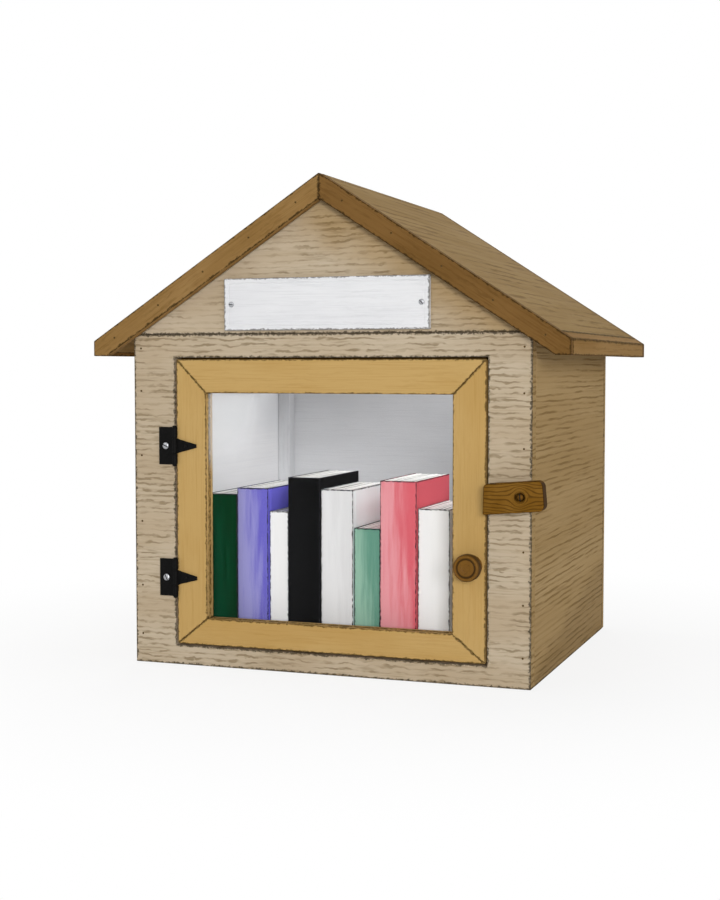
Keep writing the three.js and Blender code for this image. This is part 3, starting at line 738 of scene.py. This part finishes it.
def latch_material():
    """Dark timber whose grain runs along the bar and flows round a ring at the pivot."""
    finish = Finish("latch_timber")
    pivot = centre("latch_screw")
    ring, vein_phase = 8.5 * MM, 1700
    ring_phase = math.tau / (ring / 4)
    upward = finish.past(2, pivot.z)
    radius = finish.length(finish.past(0, pivot.x), upward)
    inside = finish.fading(radius, ring - 0.6 * MM, ring + 0.2 * MM)
    squeeze = finish.math("DIVIDE", ring * ring, finish.times(radius, radius), clamp=True)
    flow = finish.times(upward, finish.minus(1.0, squeeze))
    swell = finish.spread(finish.figure(ALONG_X, (0.03, 0.05, 0.012)), -6, 6)
    along_veins = finish.math("SINE", finish.plus(finish.times(flow, vein_phase), swell))
    along_veins = finish.between(along_veins, 0.35, 1.0)
    ring_veins = finish.between(finish.math("COSINE", finish.times(radius, ring_phase)), 0.2, 1.0)
    veins = finish.plus(finish.times(along_veins, finish.minus(1.0, inside)), finish.times(ring_veins, inside))
    fibre = finish.figure(ALONG_X, (0.03, 0.003, 0.001), detail=4, roughness=0.6)
    cloud = finish.noise(finish.place, 45, 2)
    at_end = finish.between(finish.absolute(finish.part(finish.normal, 0)), 0.4, 0.8)
    line = edge_line(finish, hull_planes("latch_bar"), (), 0.9 * MM)
    color = finish.blend(finish.between(cloud, 0.35, 0.65), tone(DARK["base"]), tone(DARK["pale"]))
    color = finish.blend(finish.times(finish.between(fibre, 0.5, 0.75), 0.6), color, tone(DARK["dark"]))
    color = finish.blend(finish.times(veins, 0.6), color, tone(DARK["stroke"]))
    color = finish.blend(at_end, color, tone(DARK["stroke"]))
    color = finish.blend(finish.times(line, 0.6), color, tone(DARK["edge"]))
    height = finish.minus(finish.times(fibre, 0.5), veins)
    height = finish.times(height, finish.minus(1.0, at_end))
    veined = finish.bump(height, 0.25 * MM)
    return finish.surface(color, finish.spread(fibre, 0.5, 0.7), veined, Specular_IOR_Level=0.02)


def slotted_head(work, place, head, shank, cap, length, turn):
    """A domed screw head and a shank with a point. A thin bar across the head, made last, is its slot."""
    profile = [
        (0, -cap), (head * 0.45, -cap * 0.97), (head * 0.75, -cap * 0.8), (head * 0.95, -cap * 0.42),
        (head, -cap * 0.1), (head * 0.98, 0), (shank, 0), (shank, length - 2 * shank), (0, length),
    ]
    turned(work, profile, place, 32)
    bar_length, bar_depth, bar_width = head * 1.72, cap * 0.05, head * 0.26
    bar = bmesh.ops.create_cube(work, size=1)["verts"]
    shape = Matrix.Diagonal((bar_length, bar_depth, bar_width, 1))
    front = place + Vector((0, -cap * 0.985, 0))
    spin = Matrix.Rotation(turn, 4, "Y")
    bmesh.ops.transform(work, matrix=Matrix.Translation(front) @ spin @ shape, verts=bar)


def add_screws():
    """The screws, each with its slot turned to its own angle."""
    metals = {
        "bright_steel": steel("screw_steel"),
        "black_iron": iron("screw_iron", 3),
        "dark_bronze": steel("screw_bronze", "6c4a1c", "432e10", 0.5),
    }
    slot_finish = Finish("screw_slot_shadow").surface(tone("1f1d1b"), 0.8, Specular_IOR_Level=0.05)
    for number, (node, body, slot, head, shank, cap) in enumerate(SCREWS):
        low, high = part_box(node)
        place = centre(node)
        place.y = low.y + cap * MM
        sizes = (head * MM, shank * MM, cap * MM, high.y - place.y)
        turn = math.radians(25 + 40 * number)
        mesh = mesh_from(f"{node}_slotted", lambda work: slotted_head(work, place, *sizes, turn), True)
        add(f"{node}_slotted", body, slot, metals[slot], mesh, node)
        mesh.materials.append(slot_finish)
        for polygon in mesh.polygons[-SLOT_FACES:]:
            polygon.material_index = 1
            polygon.use_smooth = False
        mesh.update()


def nail_heads(work, places):
    """Flat nail heads, each with a dimple, set in a row of places."""
    profile = [
        (0, -0.1 * MM), (NAIL_RADIUS * 0.6, -0.22 * MM), (NAIL_RADIUS * 0.92, -0.3 * MM), (NAIL_RADIUS, 0),
        (0, 0.6 * MM),
    ]
    for place in places:
        turned(work, profile, Vector(place), 16)


def add_nails():
    """Nails through the front panel into the side panels, and through the bargeboards into the roof boards."""
    finish = steel("nail_bronze", "5c4728", "43331b")
    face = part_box("front_panel")[0].y
    column = centre("side_panel_right").x
    places = [(side * column, face, z * MM) for side, heights in NAIL_HEIGHTS.items() for z in heights]
    mesh = mesh_from("front_panel_nails", lambda work: nail_heads(work, places))
    add("front_panel_nails", "box", "dark_bronze", finish, mesh)

    half_width, ridge, margin, below_roof = 0.285, 0.5655, 0.012, 14 * MM
    rake_places = []
    for side, sign in (("left", -1), ("right", 1)):
        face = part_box(f"bargeboard_front_{side}")[0].y
        for share in RAKE_NAILS:
            x = sign * (margin + share * (half_width - 2 * margin))
            rake_places.append((x, face, ridge - abs(x) * math.tan(ROOF_PITCH) - below_roof))
    mesh = mesh_from("bargeboard_nails", lambda work: nail_heads(work, rake_places))
    add("bargeboard_nails", "box", "dark_bronze", finish, mesh)


def add_sign():
    """The bare sign board, with a fine routed line round its face."""
    low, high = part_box("sign_board")
    margin, groove, depth = 5 * MM, 0.9 * MM, 0.7 * MM

    def outline(inset_by, y):
        left, right, bottom, top = low.x + inset_by, high.x - inset_by, low.z + inset_by, high.z - inset_by
        return [(left, y, bottom), (right, y, bottom), (right, y, top), (left, y, top)]

    outlines = [
        outline(0, high.y), outline(0, low.y), outline(margin, low.y), outline(margin + groove * 0.5, low.y + depth),
        outline(margin + groove, low.y + depth), outline(margin + groove * 1.5, low.y),
    ]
    mesh = mesh_from("sign_board_routed", lambda work: skinned(work, outlines))
    finish = timber("sign_paint", SIGN, ALONG_X, hull_planes("sign_board"), seed=40, strokes=0.25, edges=0.75,
                    dull=0.55)
    piece = add("sign_board_routed", "box", "sign_paint", finish, mesh, "sign_board")
    round_edges(piece, 0.25 * MM)


def cover_material(name, pale, dark, side, low, high, seed):
    """A book cover in streaky cloth or card, with painted shade: darker towards the right and the top, and another
    tone on its sides.
    """
    finish = Finish(f"{name}_cover")
    streak = finish.figure(ALONG_Z, (0.07, 0.02, 0.006), (0.3 * seed, 0, 0), 3, 0.55)
    weave = finish.noise(finish.place, 900, 2)
    across = finish.math("DIVIDE", finish.past(0, low.x), high.x - low.x)
    upward = finish.math("DIVIDE", finish.past(2, low.z), high.z - low.z)
    shade = finish.plus(finish.times(across, 0.75), finish.times(upward, 0.35))
    shade = finish.plus(shade, finish.spread(streak, -0.55, 0.55))
    color = finish.blend(finish.between(shade, 0.3, 0.95), tone(pale), tone(dark))
    beside = finish.between(finish.absolute(finish.part(finish.normal, 0)), 0.75, 0.95)
    color = finish.blend(beside, color, tone(side))
    below_top = finish.minus(high.z, finish.part(finish.place, 2))
    from_side = finish.minus(high.x, finish.part(finish.place, 0))
    from_side = finish.math("MINIMUM", finish.past(0, low.x), from_side)
    # On the sides of the book the upright edges count as a metre off, so that only the top edge is lined there
    from_side = finish.plus(from_side, beside)
    distance = finish.plus(finish.math("MINIMUM", below_top, from_side), finish.wander(1.4 * MM, 300, 3))
    line = finish.times(finish.fading(distance, 0.7 * MM, 1.6 * MM), dots_and_dashes(finish, 0.4, 0.95))
    color = finish.blend(line, color, tone(COVER_LINE))
    woven = finish.bump(weave, 0.05 * MM)
    return finish.surface(color, finish.spread(weave, 0.5, 0.66), woven, Specular_IOR_Level=0.02)


def page_material():
    """Paper edges: white with fine grey lines between the leaves."""
    finish = Finish("page_edges")
    line_period = 5.2 * MM
    fine = finish.figure(ALONG_Y, (0.3, 0.0006, 0.3))
    wander = finish.spread(finish.figure(ALONG_Y, (0.12, 0.012, 0.3)), -2.0, 2.0)
    phase = finish.plus(finish.times(finish.part(finish.place, 0), math.tau / line_period), wander)
    leaves = finish.between(finish.math("SINE", phase), 0.68, 0.92)
    color = finish.blend(finish.between(fine, 0.5, 0.72), tone("f5f5f3"), tone("e6e5e0"))
    color = finish.blend(finish.times(leaves, 0.9), color, tone("5c5b56"))
    return finish.surface(color, 0.9, finish.bump(fine, 0.1 * MM), Specular_IOR_Level=0.1)


def cover_outline(low, high, bulge, thickness):
    """The cover seen from above: a crowned spine with a groove behind it on each side."""
    steps, roundness = 14, 0.96
    groove_depth, groove_start, groove_middle, groove_end = 0.7 * MM, 4 * MM, 6 * MM, 8.5 * MM
    middle, half = (low.x + high.x) / 2, (high.x - low.x) / 2
    side = low.y + bulge
    spine = []
    for step in range(steps + 1):
        t = -1 + 2 * step / steps
        spine.append((middle + half * t, low.y + bulge * (1 - math.sqrt(1 - roundness * t * t))))
    right = [
        (high.x, side + groove_start), (high.x - groove_depth, side + groove_middle), (high.x, side + groove_end),
        (high.x, high.y), (high.x - thickness, high.y), (high.x - thickness, side + thickness),
    ]
    left = [(2 * middle - x, y) for x, y in reversed(right)]
    return spine + right + left


def add_book(name, seed, pages):
    """A book in place of its solid: a cover round a block of leaves in several gatherings."""
    pale, dark, side, bulge, thickness = BOOKS[name]
    low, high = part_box(name)
    outline = cover_outline(low, high, bulge * MM, thickness * MM)
    ends = [[(x, y, z) for x, y in outline] for z in (low.z, high.z)]
    mesh = mesh_from(f"{name}_cover", lambda work: skinned(work, ends))
    finish = cover_material(name, pale, dark, side, low, high, seed)
    piece = add(f"{name}_cover", "box", f"cover_{name[5:]}", finish, mesh, name)
    round_edges(piece, 0.35 * MM)
    mesh = mesh_from(f"{name}_leaves", lambda work: gatherings(work, low, high, bulge, thickness, seed))
    add(f"{name}_leaves", "box", "cover_white", pages, mesh)


def gatherings(work, low, high, bulge, thickness, seed):
    """The leaves between the covers, in gatherings of slightly uneven height and depth, each with a crowned head."""
    widest, gap, foot, head, crown = 4.2 * MM, 0.05 * MM, 0.6 * MM, 0.55 * MM, 0.25 * MM
    count = max(5, round((high.x - low.x) / widest))
    start, end = low.x + thickness * MM, high.x - thickness * MM
    width = (end - start) / count
    front = low.y + (bulge + thickness) * MM
    for i in range(count):
        rise = 0.2 * MM * math.sin(2.4 * i + seed)
        back = high.y - (2 + 1.2 * math.cos(1.7 * i)) * MM
        left, right = start + width * i + gap, start + width * (i + 1) - gap
        bottom, top = low.z + foot, high.z - head + rise
        section = [(left, bottom), (right, bottom), (right, top), ((left + right) / 2, top + crown), (left, top)]
        skinned(work, [[(x, y, z) for x, z in section] for y in (front, back)])


def add_books():
    pages = page_material()
    for seed, name in enumerate(BOOKS):
        add_book(name, seed, pages)


def seen_directly(nodes, links):
    """1 for what the camera sees, straight or by way of metal and glass."""
    path = nodes.new("ShaderNodeLightPath")
    total = path.outputs["Is Camera Ray"]
    for name in ("Is Glossy Ray", "Is Transmission Ray"):
        greater = nodes.new("ShaderNodeMath")
        greater.operation = "MAXIMUM"
        links.new(total, greater.inputs[0])
        links.new(path.outputs[name], greater.inputs[1])
        total = greater.outputs[0]
    return total


def floor_material():
    """A pale floor that keeps the soft shadow and turns into a white backdrop away from the house."""
    material = bpy.data.materials.new("studio_floor")
    material.use_nodes = True
    nodes, links = material.node_tree.nodes, material.node_tree.links
    nodes.clear()
    floor = nodes.new("ShaderNodeBsdfDiffuse")
    floor.inputs["Color"].default_value = FLOOR_TONE
    glow = nodes.new("ShaderNodeEmission")
    place = nodes.new("ShaderNodeTexCoord")
    length = nodes.new("ShaderNodeVectorMath")
    length.operation = "LENGTH"
    links.new(place.outputs["Object"], length.inputs[0])
    fade = nodes.new("ShaderNodeMapRange")
    fade.interpolation_type = "SMOOTHSTEP"
    fade.inputs["From Min"].default_value = BACKDROP_FROM
    fade.inputs["From Max"].default_value = BACKDROP_TO
    fade.inputs["To Min"].default_value = BACKDROP_LEAST
    links.new(length.outputs["Value"], fade.inputs["Value"])
    factor = nodes.new("ShaderNodeMath")
    factor.operation = "MULTIPLY"
    links.new(fade.outputs[0], factor.inputs[0])
    links.new(seen_directly(nodes, links), factor.inputs[1])
    mix = nodes.new("ShaderNodeMixShader")
    links.new(factor.outputs[0], mix.inputs[0])
    links.new(floor.outputs[0], mix.inputs[1])
    links.new(glow.outputs[0], mix.inputs[2])
    output = nodes.new("ShaderNodeOutputMaterial")
    links.new(mix.outputs[0], output.inputs["Surface"])
    return material


def add_floor():
    corners = [(-1, -1), (1, -1), (1, 1), (-1, 1)]

    def build(work):
        work.faces.new([work.verts.new((x * FLOOR_HALF, y * FLOOR_HALF, -FLOOR_DROP)) for x, y in corners])

    mesh = mesh_from("studio_floor", build)
    mesh.materials.append(floor_material())
    piece = bpy.data.objects.new("studio_floor", mesh)
    bpy.context.scene.collection.objects.link(piece)


def add_world():
    """A faint even light from all round, and a white backdrop where the camera sees past the floor."""
    world = bpy.data.worlds.new("studio")
    bpy.context.scene.world = world
    world.use_nodes = True
    nodes, links = world.node_tree.nodes, world.node_tree.links
    nodes.clear()
    light = nodes.new("ShaderNodeBackground")
    light.inputs["Color"].default_value = WORLD_TONE
    light.inputs["Strength"].default_value = WORLD_STRENGTH
    backdrop = nodes.new("ShaderNodeBackground")
    backdrop.inputs["Color"].default_value = (1, 1, 1, 1)
    mix = nodes.new("ShaderNodeMixShader")
    links.new(seen_directly(nodes, links), mix.inputs[0])
    links.new(light.outputs[0], mix.inputs[1])
    links.new(backdrop.outputs[0], mix.inputs[2])
    output = nodes.new("ShaderNodeOutputWorld")
    links.new(mix.outputs[0], output.inputs["Surface"])


def aim(piece, target):
    piece.rotation_euler = (Vector(target) - piece.location).to_track_quat("-Z", "Y").to_euler()


def add_lamp(name, place, target, size, power):
    lamp = bpy.data.lights.new(name, "AREA")
    lamp.shape = "RECTANGLE"
    lamp.size, lamp.size_y = size
    lamp.energy = power
    piece = bpy.data.objects.new(name, lamp)
    piece.location = place
    bpy.context.scene.collection.objects.link(piece)
    aim(piece, target)
    return piece


def add_lights():
    """A wide soft lamp at the front right, weaker ones all round, and a faint one inside, high on the right."""
    for name, (place, size, power) in LAMPS.items():
        add_lamp(name, place, LAMP_TARGET, size, power)
    inside = add_lamp("inside_light", *INSIDE_LAMP)
    inside.visible_camera = False
    inside.visible_glossy = False


def add_camera():
    camera = bpy.data.cameras.new("camera")
    camera.lens = LENS
    camera.sensor_width = SENSOR
    piece = bpy.data.objects.new("camera", camera)
    level = math.cos(CAMERA_ELEVATION)
    back = Vector((
        math.sin(CAMERA_AZIMUTH) * level,
        -math.cos(CAMERA_AZIMUTH) * level,
        math.sin(CAMERA_ELEVATION),
    ))
    piece.location = CAMERA_TARGET + back * CAMERA_DISTANCE
    bpy.context.scene.collection.objects.link(piece)
    aim(piece, CAMERA_TARGET)
    bpy.context.scene.camera = piece


add_camera()
dress_carcass()
dress_inside()
dress_door()
dress_hardware()
add_knob()
add_screws()
add_nails()
add_sign()
add_books()
add_floor()
add_world()
add_lights()
bpy.context.scene.view_settings.view_transform = "Standard"
